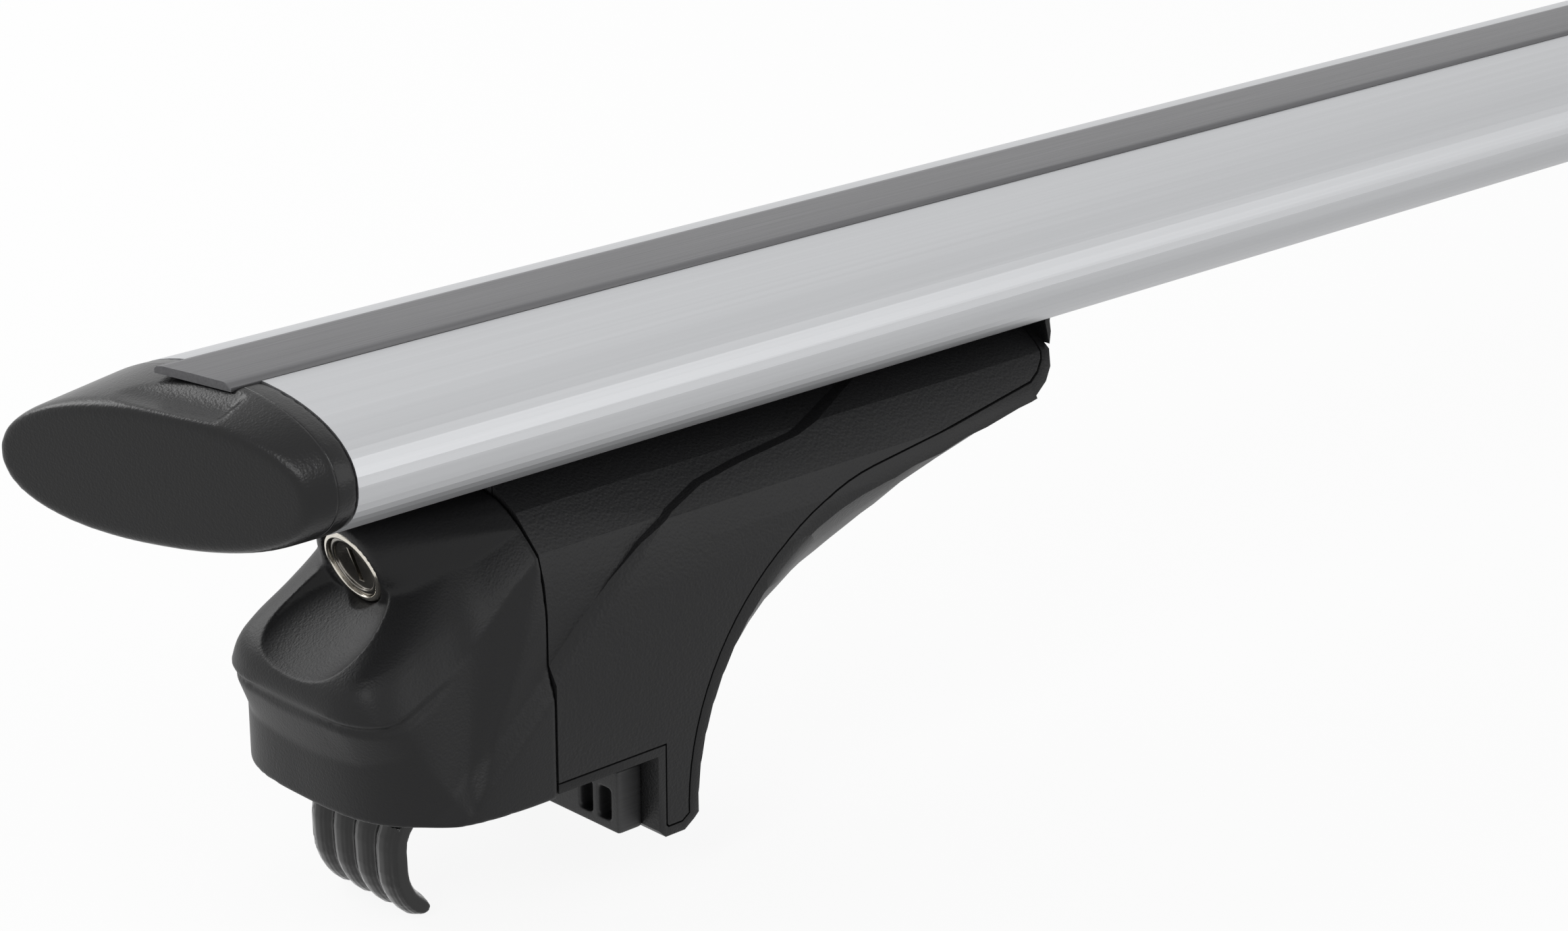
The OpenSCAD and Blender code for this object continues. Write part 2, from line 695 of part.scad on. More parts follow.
module clamp_bolt() {
    socket = 5;
    color([0.7, 0.71, 0.73]) translate([jaw_x - washer_t, 0, bolt_z]) rotate([0, 90, 0]) difference() {
        union() {
            cylinder(r = bolt_r, h = bolt_len);
            translate([0, 0, -head_t]) cylinder(r = bolt_head_share * bolt_r, h = head_t);
        }
        translate([0, 0, -head_t - over])
            cylinder(d = socket / cos(30), h = socket_share * head_t + over, $fn = 6);
    }
}

module clamp_nut() {
    color([0.7, 0.71, 0.73]) difference() {
        translate([nut_x, -nut_s / 2, bolt_z - nut_s / 2]) cube([nut_t, nut_s, nut_s]);
        translate([nut_x - over, 0, bolt_z]) rotate([0, 90, 0])
            cylinder(r = bolt_r + run_fit, h = nut_t + 2 * over);
    }
}

// Rubber pads on the leg and under the body
pad_side = 5.5;
window_depth_share = 0.6;
window_w = 4;
window_gap = 2;
window_inset = 2.5;
module leg_pad() {
    half = foot_hw - pad_side;
    low = -leg_drop + leg_t / 8;
    high = rail_z - rail_pad_t - fit;
    color([0.2, 0.2, 0.21]) difference() {
        translate([leg_x - leg_pad_t, -half, low]) cube([leg_pad_t, 2 * half, high - low]);
        for (s = [-1, 1], k = [0, 1]) translate([leg_x - leg_pad_t - over,
            s * (half - window_inset - window_w / 2 - k * (window_w + window_gap)) - window_w / 2,
            low + window_inset])
            cube([window_depth_share * leg_pad_t + over, window_w, high - low - 3 * window_inset]);
    }
}

module rail_pad() {
    half = foot_hw - pad_side;
    groove = rail_pad_t / 3;
    long = leg_x - over - fit;
    color([0.2, 0.2, 0.21]) difference() {
        translate([over, -half, rail_z - rail_pad_t]) cube([long, 2 * half, rail_pad_t]);
        for (k = [1:3])
            translate([over + k * long / 4 - groove / 2, -half - over, rail_z - rail_pad_t - over])
                cube([groove, 2 * half + 2 * over, groove + over]);
    }
}

// Nuts in the channel of the bar, and the screws that draw the foot up to it
module channel_nuts() {
    width = low_channel_w - 2 * fit;
    color([0.6, 0.61, 0.63]) for (x = screw_places) difference() {
        translate([x - channel_nut_l / 2, -width / 2, low_face + slot_lip])
            cube([channel_nut_l, width, channel_nut_t]);
        translate([x, 0, -bar_t]) cylinder(r = screw_r + run_fit, h = 2 * bar_t);
    }
}

module foot_screws() {
    socket = 6;
    color([0.6, 0.61, 0.63]) for (x = screw_places) translate([x, 0, screw_seat_z]) difference() {
        union() {
            cylinder(r = screw_r, h = screw_len);
            translate([0, 0, -screw_head_t]) cylinder(r = screw_head_r, h = screw_head_t);
        }
        translate([0, 0, -screw_head_t - over])
            cylinder(d = socket / cos(30), h = screw_head_t / 2 + over, $fn = 6);
    }
}

// Placing: height of the bar axis over the ground, and the two ends of the bar
module lifted() {
    translate([0, 0, jaw_drop]) children();
}
module left_end() {
    lifted() translate([-bar_len / 2, 0, 0]) children();
}
module right_end() {
    mirror([1, 0, 0]) left_end() children();
}
module left_foot() {
    left_end() translate([foot_inset, 0, 0]) children();
}
module right_foot() {
    mirror([1, 0, 0]) left_foot() children();
}

lifted() bar();
lifted() cushion_strip();
left_end() end_cap();  // end_cap_left
right_end() end_cap();  // end_cap_right
left_foot() foot_body();  // foot_body_left
right_foot() foot_body();  // foot_body_right
left_foot() side_panel_front();  // side_panel_front_left
left_foot() side_panel_rear();  // side_panel_rear_left
right_foot() side_panel_front();  // side_panel_front_right
right_foot() side_panel_rear();  // side_panel_rear_right
left_foot() cover();  // cover_left
right_foot() cover();  // cover_right
left_foot() lock_sleeve();  // lock_sleeve_left
right_foot() lock_sleeve();  // lock_sleeve_right
left_foot() lock_barrel();  // lock_barrel_left
right_foot() lock_barrel();  // lock_barrel_right
left_foot() lock_cam();  // lock_cam_left
right_foot() lock_cam();  // lock_cam_right
left_foot() clamp_jaw();  // clamp_jaw_left
right_foot() clamp_jaw();  // clamp_jaw_right
left_foot() clamp_bolt();  // clamp_bolt_left
right_foot() clamp_bolt();  // clamp_bolt_right
left_foot() bolt_washer();  // bolt_washer_left
right_foot() bolt_washer();  // bolt_washer_right
left_foot() clamp_nut();  // clamp_nut_left
right_foot() clamp_nut();  // clamp_nut_right
left_foot() leg_pad();  // leg_pad_left
right_foot() leg_pad();  // leg_pad_right
left_foot() rail_pad();  // rail_pad_left
right_foot() rail_pad();  // rail_pad_right
left_foot() channel_nuts();  // channel_nuts_left
right_foot() channel_nuts();  // channel_nuts_right
left_foot() foot_screws();  // foot_screws_left
right_foot() foot_screws();  // foot_screws_right
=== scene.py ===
import json
import math

import bmesh
import bpy
from mathutils import Matrix, Vector

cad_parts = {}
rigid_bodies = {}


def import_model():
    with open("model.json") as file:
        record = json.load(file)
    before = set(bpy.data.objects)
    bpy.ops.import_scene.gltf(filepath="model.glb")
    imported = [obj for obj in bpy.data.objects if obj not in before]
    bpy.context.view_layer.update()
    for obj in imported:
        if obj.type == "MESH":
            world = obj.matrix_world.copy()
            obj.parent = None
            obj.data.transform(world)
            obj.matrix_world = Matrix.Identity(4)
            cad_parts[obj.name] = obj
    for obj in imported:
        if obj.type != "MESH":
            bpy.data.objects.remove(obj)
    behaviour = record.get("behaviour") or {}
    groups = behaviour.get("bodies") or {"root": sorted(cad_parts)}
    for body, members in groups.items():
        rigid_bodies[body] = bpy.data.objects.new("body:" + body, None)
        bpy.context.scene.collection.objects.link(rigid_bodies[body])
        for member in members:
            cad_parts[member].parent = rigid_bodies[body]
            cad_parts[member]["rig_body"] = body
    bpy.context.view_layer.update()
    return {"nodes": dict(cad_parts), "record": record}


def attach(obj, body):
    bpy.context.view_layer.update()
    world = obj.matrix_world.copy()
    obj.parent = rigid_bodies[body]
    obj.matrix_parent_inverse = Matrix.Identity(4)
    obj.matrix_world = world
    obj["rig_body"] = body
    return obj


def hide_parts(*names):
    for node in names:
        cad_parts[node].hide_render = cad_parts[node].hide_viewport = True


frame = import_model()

# Roof rack crossbar: the finish of its metal, rubber and moulded pieces, the rounded edges that
# moulding, dipping and cutting give them, and the smooth skin of the covers. Lengths are in
# millimetres until they reach a mesh. Floor, lamps and camera are in metres.
MM = 0.001
ENDS = {"left": 1, "right": -1}
SLOTS = {s["node"]: s["material_slot"] for s in frame["record"]["subparts"]}
# From the middle of the bar out to the joints of the feet, and from the ground up to its axis
FOOT_X = 550.0
AXIS_Z = 108.0


# Colours and nodes

def linear(code):
    """An sRGB hex colour as linear RGBA."""
    shares = [int(code[i:i + 2], 16) / 255 for i in (1, 3, 5)]
    return [s / 12.92 if s <= 0.04045 else ((s + 0.055) / 1.055) ** 2.4 for s in shares] + [1.0]


def add(tree, kind, inputs, **settings):
    """A node with its settings. Each input gets a value or a link from another node's output."""
    made = tree.nodes.new(kind)
    for name, value in settings.items():
        setattr(made, name, value)
    for name, value in inputs.items():
        if isinstance(value, bpy.types.NodeSocket):
            tree.links.new(value, made.inputs[name])
        else:
            made.inputs[name].default_value = value
    return made


def new_material(name):
    """An empty material with its node tree and a place on the object in metres."""
    made = bpy.data.materials.new(name)
    made.use_nodes = True
    tree = made.node_tree
    tree.nodes.clear()
    return made, tree, add(tree, "ShaderNodeTexCoord", {}).outputs["Object"]


def surface(tree, **inputs):
    """The principled shader of a material, and its output. Socket names use _ for a space."""
    sockets = {name.replace("_", " "): value for name, value in inputs.items()}
    shader = add(tree, "ShaderNodeBsdfPrincipled", sockets)
    add(tree, "ShaderNodeOutputMaterial", {"Surface": shader.outputs["BSDF"]})


def tinted(tree, factor, dark, light):
    """A colour between two, by a factor that lies about 0.5."""
    ramp = add(tree, "ShaderNodeValToRGB", {"Fac": factor})
    for element, position, colour in zip(ramp.color_ramp.elements, (0.3, 0.7), (dark, light)):
        element.position = position
        element.color = linear(colour)
    return ramp.outputs["Color"]


# Finishes

# How often a pattern repeats in a metre. Where it has three values, the first is along the bar.
# Drawn lines are coarser than real ones, so that they show.
NYLON_CLOUDS = 60.0                     # patches of 17 mm
METAL_LINES = (6.0, 1200.0, 1200.0)     # 170 mm long and 0.8 mm apart
METAL_ETCH = 2200.0                     # 0.45 mm
RUBBER_LINES = (25.0, 1800.0, 1800.0)   # 40 mm long and 0.55 mm apart
VINYL_RUNS = 90.0                       # 11 mm
# Pits to a pebble of moulded grain, and how deep a parting line lies beside that grain
PITS = 0.6
PARTING_HEIGHT = -3.0
# Half the width of a parting line
PARTING_HALF = 0.22


def parting_line(tree, place, at_mm):
    """1 on the hairline where two halves of a mould met, at a distance out from the bar's middle."""
    out = add(tree, "ShaderNodeSeparateXYZ", {0: place}).outputs["X"]
    far = add(tree, "ShaderNodeMath", {0: out}, operation="ABSOLUTE").outputs[0]
    off = add(tree, "ShaderNodeMath", {0: far, 1: at_mm * MM}, operation="SUBTRACT").outputs[0]
    near = add(tree, "ShaderNodeMath", {0: off}, operation="ABSOLUTE").outputs[0]
    return add(tree, "ShaderNodeMapRange", {
        "Value": near, "From Min": 0.0, "From Max": PARTING_HALF * MM,
        "To Min": 1.0, "To Max": 0.0}).outputs[0]


def moulded_plastic(name, dark, light, grain_mm, depth_mm, roughness, gloss=0.26, parting_mm=None):
    """Black glass-filled nylon from a spark-eroded mould: matt, with an even pebbled grain. The
    real grain is near 0.2 mm, and is drawn coarser so that it shows at a step away."""
    made, tree, place = new_material(name)
    pebbles = add(tree, "ShaderNodeTexVoronoi", {"Vector": place, "Scale": 1 / (grain_mm * MM)},
                  feature="SMOOTH_F1").outputs["Distance"]
    pits = add(tree, "ShaderNodeTexNoise", {
        "Vector": place, "Scale": PITS / (grain_mm * MM), "Detail": 3.0}).outputs["Fac"]
    height = add(tree, "ShaderNodeMath", {0: pebbles, 1: pits}, operation="ADD").outputs[0]
    if parting_mm:
        line = parting_line(tree, place, parting_mm)
        height = add(tree, "ShaderNodeMath", {0: line, 1: PARTING_HEIGHT, 2: height},
                     operation="MULTIPLY_ADD").outputs[0]
    bump = add(tree, "ShaderNodeBump", {
        "Height": height, "Strength": 0.6, "Distance": depth_mm * MM}).outputs["Normal"]
    cloud = add(tree, "ShaderNodeTexNoise", {
        "Vector": place, "Scale": NYLON_CLOUDS, "Detail": 4.0}).outputs["Fac"]
    sheen = add(tree, "ShaderNodeMapRange", {
        "Value": cloud, "To Min": roughness - 0.05, "To Max": roughness + 0.05}).outputs[0]
    surface(tree, Base_Color=tinted(tree, height, dark, light), Roughness=sheen,
            IOR=1.5, Specular_IOR_Level=gloss, Normal=bump)
    return made


def anodised_aluminium(name):
    """Extruded aluminium, etched and clear anodised: a silvery satin with faint lines along it."""
    made, tree, place = new_material(name)
    drawn = add(tree, "ShaderNodeMapping", {"Vector": place, "Scale": METAL_LINES})
    lines = add(tree, "ShaderNodeTexNoise", {
        "Vector": drawn.outputs[0], "Scale": 1.0, "Detail": 3.0}).outputs["Fac"]
    etch = add(tree, "ShaderNodeTexNoise", {
        "Vector": place, "Scale": METAL_ETCH, "Detail": 2.0}).outputs["Fac"]
    rough = add(tree, "ShaderNodeMapRange", {
        "Value": lines, "To Min": 0.47, "To Max": 0.52}).outputs[0]
    height = add(tree, "ShaderNodeMath", {0: lines, 1: etch}, operation="ADD").outputs[0]
    bump = add(tree, "ShaderNodeBump", {
        "Height": height, "Strength": 0.05, "Distance": 0.03 * MM}).outputs["Normal"]
    surface(tree, Base_Color=tinted(tree, lines, "#b7b8ba", "#bbbcbe"), Metallic=1.0,
            Roughness=rough, Normal=bump)
    return made


def extruded_rubber(name, dark, light, roughness):
    """EPDM rubber pushed through a die: dull, with fine lines along its length."""
    made, tree, place = new_material(name)
    drawn = add(tree, "ShaderNodeMapping", {"Vector": place, "Scale": RUBBER_LINES})
    lines = add(tree, "ShaderNodeTexNoise", {
        "Vector": drawn.outputs[0], "Scale": 1.0, "Detail": 4.0}).outputs["Fac"]
    bump = add(tree, "ShaderNodeBump", {
        "Height": lines, "Strength": 0.5, "Distance": 0.12 * MM}).outputs["Normal"]
    surface(tree, Base_Color=tinted(tree, lines, dark, light), Roughness=roughness,
            IOR=1.5, Specular_IOR_Level=0.5, Normal=bump)
    return made


def dipped_vinyl(name):
    """PVC plastisol, dipped hot: glossy black, smooth, with slow runs in its skin."""
    made, tree, place = new_material(name)
    runs = add(tree, "ShaderNodeTexNoise", {
        "Vector": place, "Scale": VINYL_RUNS, "Detail": 1.0}).outputs["Fac"]
    bump = add(tree, "ShaderNodeBump", {
        "Height": runs, "Strength": 0.35, "Distance": 0.5 * MM}).outputs["Normal"]
    surface(tree, Base_Color=tinted(tree, runs, "#050505", "#0a0a0a"), Roughness=0.1,
            IOR=1.52, Specular_IOR_Level=0.4, Normal=bump)
    return made


def plated_metal(name, dark, light, roughness, lines_mm):
    """Nickel or zinc plate on machined metal: bright, with the fine marks of the tool under it."""
    made, tree, place = new_material(name)
    marks = add(tree, "ShaderNodeTexNoise", {
        "Vector": place, "Scale": 1 / (lines_mm * MM), "Detail": 3.0}).outputs["Fac"]
    rough = add(tree, "ShaderNodeMapRange", {
        "Value": marks, "To Min": roughness - 0.05, "To Max": roughness + 0.08}).outputs[0]
    bump = add(tree, "ShaderNodeBump", {
        "Height": marks, "Strength": 0.15, "Distance": 0.05 * MM}).outputs["Normal"]
    surface(tree, Base_Color=tinted(tree, marks, dark, light), Metallic=1.0,
            Roughness=rough, Normal=bump)
    return made


# The parting line of a cap lies this far out from the middle of the bar
CAP_PARTING = 604.6
# Finishes by material slot. The lock's barrel shares a slot with its sleeve and gets a darker copy
# of its nickel plate, as painted reflection of dark surroundings on its polished face.
FINISHES = {
    "anodised_aluminium": anodised_aluminium("anodised aluminium"),
    "strip_rubber": extruded_rubber("grey EPDM rubber", "#59595b", "#666668", 0.45),
    "cap_plastic": moulded_plastic("moulded nylon of the caps", "#08080a", "#101011",
                                   0.45, 0.07, 0.3, 0.3, CAP_PARTING),
    "body_plastic": moulded_plastic("moulded nylon of the body", "#0a0a0b", "#121213",
                                    0.5, 0.1, 0.42),
    "panel_plastic": moulded_plastic("moulded nylon of the panels", "#09090a", "#151516",
                                     0.6, 0.14, 0.46),
    "cover_plastic": moulded_plastic("moulded nylon of the cover", "#0c0c0d", "#141415",
                                     0.45, 0.07, 0.43),
    "lock_nickel": plated_metal("bright nickel plate", "#cfcac0", "#e2ddd2", 0.16, 0.4),
    # Painted reflection: the same nickel plate made darker, standing in for the dark surroundings
    # that its polished face would mirror
    "lock_barrel": plated_metal("nickel plate darkened as painted reflection", "#7d7a74", "#94908a", 0.16, 0.4),
    "zinc_steel": plated_metal("zinc plated steel", "#a9adb0", "#c3c7ca", 0.32, 0.6),
    "jaw_coat": dipped_vinyl("dipped vinyl"),
    "pad_rubber": extruded_rubber("black EPDM rubber", "#1b1b1c", "#252526", 0.5),
}


# Pieces made from the solids

# Points of a solid that are closer than this are one point
SAME_POINT = 0.002
# Share of its faces that a moulded piece keeps
MOULDED_SHARE = 0.4


def dress(piece, node):
    """The piece gets the node's finish, stands for the node and moves with its body."""
    finish = FINISHES.get(node.rsplit("_", 1)[0], FINISHES[SLOTS[node]])
    piece.data.materials.clear()
    piece.data.materials.append(finish)
    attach(piece, frame["nodes"][node]["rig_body"])
    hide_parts(node)
    return piece


def new_piece(name, form):
    """A new piece in the scene. Its form is used up."""
    mesh = bpy.data.meshes.new(name)
    form.to_mesh(mesh)
    form.free()
    piece = bpy.data.objects.new(name, mesh)
    bpy.context.scene.collection.objects.link(piece)
    return piece


def copied(node, name):
    """A new piece with the node's mesh, its faces joined along their edges."""
    form = bmesh.new()
    form.from_mesh(frame["nodes"][node].data)
    bmesh.ops.remove_doubles(form, verts=form.verts, dist=SAME_POINT * MM)
    return new_piece(name, form)


def settle(piece):
    """Applies the piece's modifiers and shades it smooth."""
    graph = bpy.context.evaluated_depsgraph_get()
    mesh = bpy.data.meshes.new_from_object(piece.evaluated_get(graph))
    piece.modifiers.clear()
    piece.data = mesh
    mesh.shade_smooth()
    return piece


def cells(piece, size, passes, weight=None):
    """Rebuilds a piece in small even cells and smooths it, all over or by a weight at a point."""
    even = piece.modifiers.new("cells", "REMESH")
    even.mode = "VOXEL"
    even.voxel_size = size
    if weight:
        settle(piece)
        group = piece.vertex_groups.new(name="weight")
        for v in piece.data.vertices:
            group.add([v.index], weight(v.co), "REPLACE")
    rounding = piece.modifiers.new("rounding", "SMOOTH")
    rounding.iterations = passes
    if weight:
        rounding.vertex_group = "weight"
    return settle(piece)


def thinned(piece, share):
    """Keeps a share of the piece's faces, where its form needs them."""
    piece.modifiers.new("thinned", "DECIMATE").ratio = share
    return settle(piece)


def moulded(node, cell, passes):
    """The node with the rounded edges of a moulding."""
    piece = cells(copied(node, node + "_moulded"), cell * MM, passes)
    return dress(thinned(piece, MOULDED_SHARE), node)


def machined(node, edge, angle=35):
    """The node with the small bevels of a machined or cut piece, on edges over an angle."""
    piece = copied(node, node + "_machined")
    if edge:
        bevel = piece.modifiers.new("bevel", "BEVEL")
        bevel.width = edge * MM
        bevel.segments = 2
        bevel.limit_method = "ANGLE"
        bevel.angle_limit = math.radians(angle)
    settle(piece)
    piece.data.set_sharp_from_angle(angle=math.radians(angle))
    return dress(piece, node)


# Cover, drawn at the left end from the joint (x = 0) to its nose, with z = 0 on the bar's axis

# Lines over the cover from the joint round to the middle of the nose, where y is positive
CREASE = [(0, 32.3, -27), (-6.2, 30.3, -33.5), (-15.4, 28.1, -44.9), (-24.9, 27.6, -51.1),
          (-33.2, 26.8, -55), (-37.6, 23.6, -56), (-40.5, 17, -56.2), (-41.3, 8, -56),
          (-41.4, 0, -56)]
SHOULDER = [(0, 31.5, -26.2), (-6, 28.2, -31), (-14, 25.2, -38.8), (-23.5, 23.6, -43.2),
            (-31.5, 22.6, -46.6), (-36.5, 19.6, -48.2), (-38.8, 13.5, -49.4), (-39.4, 6.5, -50),
            (-39.5, 0, -50.2)]
ROOF = [(0, 30, -24.8), (-4.5, 25.5, -26.5), (-10, 21.5, -30), (-16.5, 18.6, -33.6),
        (-22, 15.8, -36.8), (-26, 12.5, -39), (-28.5, 8.6, -40.6), (-30, 4.2, -41.5),
        (-30.5, 0, -41.8)]
TOP = [(0, 32.3, -27), (0, 27.5, -22.6), (0, 23.5, -19.8), (0, 19.5, -17.9), (0, 15.5, -17.1),
       (0, 11.6, -16.9), (0, 7.7, -16.9), (0, 3.9, -16.9), (0, 0, -16.9)]
ROUND_STEPS = 90
ROOF_STEPS = 14
WALL_STEPS = 44
# Points of the cover that are closer than this are one point
DOUBLED = 0.01

# Rim of the cover: its reach to the nose and to the side, its height, and how full it is
RIM_LONG = 38.0
RIM_HALF = 34.2
RIM_Z = -79.0
RIM_FULLNESS = 0.63
# Share of the wall's height, round the nose, at which its slant ends in an upright face
FOLD = [(0, 0.25), (0.25, 0.97), (0.36, 0.68), (0.5, 0.34), (0.62, 0.38), (0.75, 0.45), (1, 0.49)]

# Groove under the crease, which starts a little way round from the joint
GROOVE_DEPTH = 1.2
GROOVE_DROP = 1.2
GROOVE_HALF = 0.8
GROOVE_START = 0.28
GROOVE_START_RUN = 0.15

# Accent line: a slope in the side wall, by a point on it and its direction in x and z
ACCENT_POINT = (-15.75, -65.5)
ACCENT_ACROSS = (0.69, -0.724)
ACCENT_RUN = 3.8
ACCENT_STEP = 2.05

COVER_WALL = 2.6
# Hollow of the cover: its outside made smaller and moved
HOLLOW_SHARES = (0.99, 0.925, 0.95, 1)
HOLLOW_MOVE = (2.2, 0, -4.5)

LOCK_FACE = Vector((-23.4, 0, -32.5))
LOCK_TILT = math.radians(20)
LOCK_BORE_R = 8.65
LOCK_BORE_ENDS = (-25, 40)
LOCK_BOSS_R = 11.2
LOCK_BOSS_ENDS = (-10, 8)
# The housing of the lock ends just past the joint, along the roof's edge and down to this foot
HOUSING_X = 0.5
HOUSING_FOOT = (0, 29.0, -42.0)

# Dish in front of the lock: half an egg, drawn to an angle near its bottom, with a funnel over it
DISH_AT = Vector((-32.6, 0, -44.05))
DISH_TURN = math.radians(-30)
DISH_SIZE = (17.0, 14.3, 3.2)
DISH_STEPS = 20
DISH_END = 84
FUNNEL_SHARE = 1.6
FUNNEL_HEIGHT = 14.0
CIRCLE_STEPS = 64

# Smoothing of the roof stops at a distance from the lock's axis and at an x near the joint, and is
# full from a fade further in
SMOOTH_R = 22
SMOOTH_FADE = 8
SMOOTH_JOINT = -1
SMOOTH_JOINT_FADE = 5
SMOOTH_CELL = 0.6
SMOOTH_PASSES = 40
SKIN_CELL = 0.4
SKIN_PASSES = 2
# Share of its faces that the cover keeps
COVER_SHARE = 0.3
# Cutting blocks: half their width, how deep the one behind the lock goes, and the reach along X
# and along Z of the one past the joint
BLOCK_HALF = 60
BEHIND_DEPTH = 90
JOINT_BLOCK_X = (-0.15, 40)
JOINT_BLOCK_Z = (-100, 20)


def eased(x):
    """0 below 0 and 1 above 1, with a soft way between."""
    x = min(max(x, 0.0), 1.0)
    return x * x * (3 - 2 * x)


def along(points, t):
    """The place on a smooth curve through the points, t from 0 to 1."""
    last = len(points) - 1
    i = min(int(t * last), last - 1)
    f = t * last - i
    a, b, c, d = (Vector(points[min(max(k, 0), last)]) for k in (i - 1, i, i + 1, i + 2))
    bend = 2 * a - 5 * b + 4 * c - d
    return 0.5 * (2 * b + (c - a) * f + bend * f * f + (3 * b - a - 3 * c + d) * f ** 3)


def level(table, t):
    """The value at t in a table of rising pairs, straight between them."""
    for (t0, v0), (t1, v1) in zip(table, table[1:]):
        if t <= t1:
            return v0 + (v1 - v0) * (t - t0) / (t1 - t0)
    return table[-1][1]


def cover_column(side, t):
    """Points from the cover's top at the joint, over the roof and the crease, down to the rim."""
    lines = [along(line, t) for line in (CREASE, SHOULDER, ROOF, TOP)]
    roof = [along(lines, k / ROOF_STEPS) for k in range(ROOF_STEPS, -1, -1)]
    crease = roof[-1]
    a = math.radians(90 * t)
    rim = Vector((-RIM_LONG * math.sin(a) ** RIM_FULLNESS,
                  RIM_HALF * max(math.cos(a), 0) ** RIM_FULLNESS, RIM_Z))
    fold = level(FOLD, t)
    groove = GROOVE_DEPTH * eased((t - GROOVE_START) / GROOVE_START_RUN)
    wall = []
    for k in range(1, WALL_STEPS + 1):
        share = k / WALL_STEPS
        p = crease.lerp(rim, min(share / fold, 1))
        p.z = crease.z + (rim.z - crease.z) * share
        drop = crease.z - p.z
        inward = Vector((-p.x, -p.y, 0)).normalized()
        p += inward * groove * math.exp(-((drop - GROOVE_DROP) / GROOVE_HALF) ** 2)
        past = ((p.x - ACCENT_POINT[0]) * ACCENT_ACROSS[0]
                + (p.z - ACCENT_POINT[1]) * ACCENT_ACROSS[1])
        p.y += ACCENT_STEP * min(max(past / ACCENT_RUN, 0), 1)
        wall.append(p)
    return [(p.x, p.y * side, p.z) for p in roof + wall]


def closed_piece(name, points, faces):
    """A new piece from points and faces, its doubled points joined and its faces turned out."""
    mesh = bpy.data.meshes.new(name)
    mesh.from_pydata(points, [], faces)
    form = bmesh.new()
    form.from_mesh(mesh)
    bpy.data.meshes.remove(mesh)
    bmesh.ops.remove_doubles(form, verts=form.verts, dist=DOUBLED)
    bmesh.ops.recalc_face_normals(form, faces=form.faces)
    return new_piece(name, form)


def grid_faces(lines, count, closed):
    """The faces between lines of equal count, whose ends may meet in a ring."""
    return [(i * count + k, i * count + (k + 1) % count,
             (i + 1) * count + (k + 1) % count, (i + 1) * count + k)
            for i in range(lines - 1) for k in range(count if closed else count - 1)]


def rings_piece(name, rings):
    """A closed solid through rings of equal count."""
    n = len(rings[0])
    last = (len(rings) - 1) * n
    ends = [list(range(n)), list(range(last, last + n))]
    points = [p for ring in rings for p in ring]
    return closed_piece(name, points, grid_faces(len(rings), n, True) + ends)


def cover_form():
    """The cover as a closed solid, before its dish, its lock and its hollow are cut."""
    columns = [cover_column(1, k / ROUND_STEPS) for k in range(ROUND_STEPS + 1)]
    columns += [cover_column(-1, k / ROUND_STEPS) for k in range(ROUND_STEPS - 1, -1, -1)]
    rows = len(columns[0])
    last = len(columns) - 1
    faces = grid_faces(len(columns), rows, False)
    # Small faces where the roof starts at both sides, the underside, and the face at the joint
    faces += [[start + k for k in range(ROOF_STEPS + 1)] for start in (0, last * rows)]
    faces.append([i * rows + rows - 1 for i in range(last + 1)])
    faces.append(list(range(ROOF_STEPS, rows))
                 + [last * rows + k for k in range(rows - 1, ROOF_STEPS - 1, -1)]
                 + [i * rows for i in range(last - 1, 0, -1)])
    return closed_piece("cover_form", [p for column in columns for p in column], faces)


def turned(points, at, angle):
    """Points turned about the Y axis, and moved."""
    turn = Matrix.Rotation(angle, 3, "Y")
    return [tuple(turn @ Vector(p) + at) for p in points]


def at_lock(points):
    """Points drawn with the lock's face at the origin and its depth along Z, at their place."""
    return turned(points, LOCK_FACE, math.pi / 2 - LOCK_TILT)


def circle(radius, z):
    """A ring of points about the Z axis."""
    return [(radius * math.cos(math.tau * k / CIRCLE_STEPS),
             radius * math.sin(math.tau * k / CIRCLE_STEPS), z) for k in range(CIRCLE_STEPS)]


def square(x0, x1, y0, y1, z):
    """The corners of an upright block at a height."""
    return [(x0, y0, z), (x1, y0, z), (x1, y1, z), (x0, y1, z)]


def about_lock(name, radius, depths):
    """A cylinder about the axis of the lock, from a depth behind its face to another."""
    return rings_piece(name, [at_lock(circle(radius, z)) for z in depths])


def behind_face(offset):
    """A block of all that lies behind the face of the lock."""
    return rings_piece("behind", [
        at_lock(square(-BLOCK_HALF, BLOCK_HALF, -BLOCK_HALF, BLOCK_HALF, z))
        for z in (offset, BEHIND_DEPTH)])


def past_joint():
    """A block of all that lies past the joint, on the side of the foot's body."""
    return rings_piece("past_joint", [square(*JOINT_BLOCK_X, -BLOCK_HALF, BLOCK_HALF, z)
                                      for z in JOINT_BLOCK_Z])


def lock_housing():
    """The middle of the roof: the round seat of the lock, run back to the joint."""
    points = at_lock(circle(LOCK_BORE_R + COVER_WALL, 0))
    points += [(HOUSING_X, y * side, z) for _, y, z in TOP[1:] + [HOUSING_FOOT]
               for side in (1, -1)]
    form = bmesh.new()
    for p in points:
        form.verts.new(p)
    form.verts.ensure_lookup_table()
    hull = bmesh.ops.convex_hull(form, input=form.verts)
    inner = [v for v in hull["geom_interior"] if isinstance(v, bmesh.types.BMVert)]
    bmesh.ops.delete(form, geom=inner, context="VERTS")
    return new_piece("housing", form)


def dish(name, grown):
    """The dish in front of the lock with the room over it, made larger by a wall."""
    a, b, c = (size + grown for size in DISH_SIZE)
    turns = [math.radians(DISH_END * k / DISH_STEPS) for k in range(DISH_STEPS + 1)]
    levels = [(FUNNEL_SHARE, FUNNEL_HEIGHT)] + [(math.cos(t), -c * math.sin(t)) for t in turns]
    return rings_piece(name, [
        turned([(x * a * share, y * b * share, z) for x, y, _ in circle(1, 0)], DISH_AT, DISH_TURN)
        for share, z in levels])


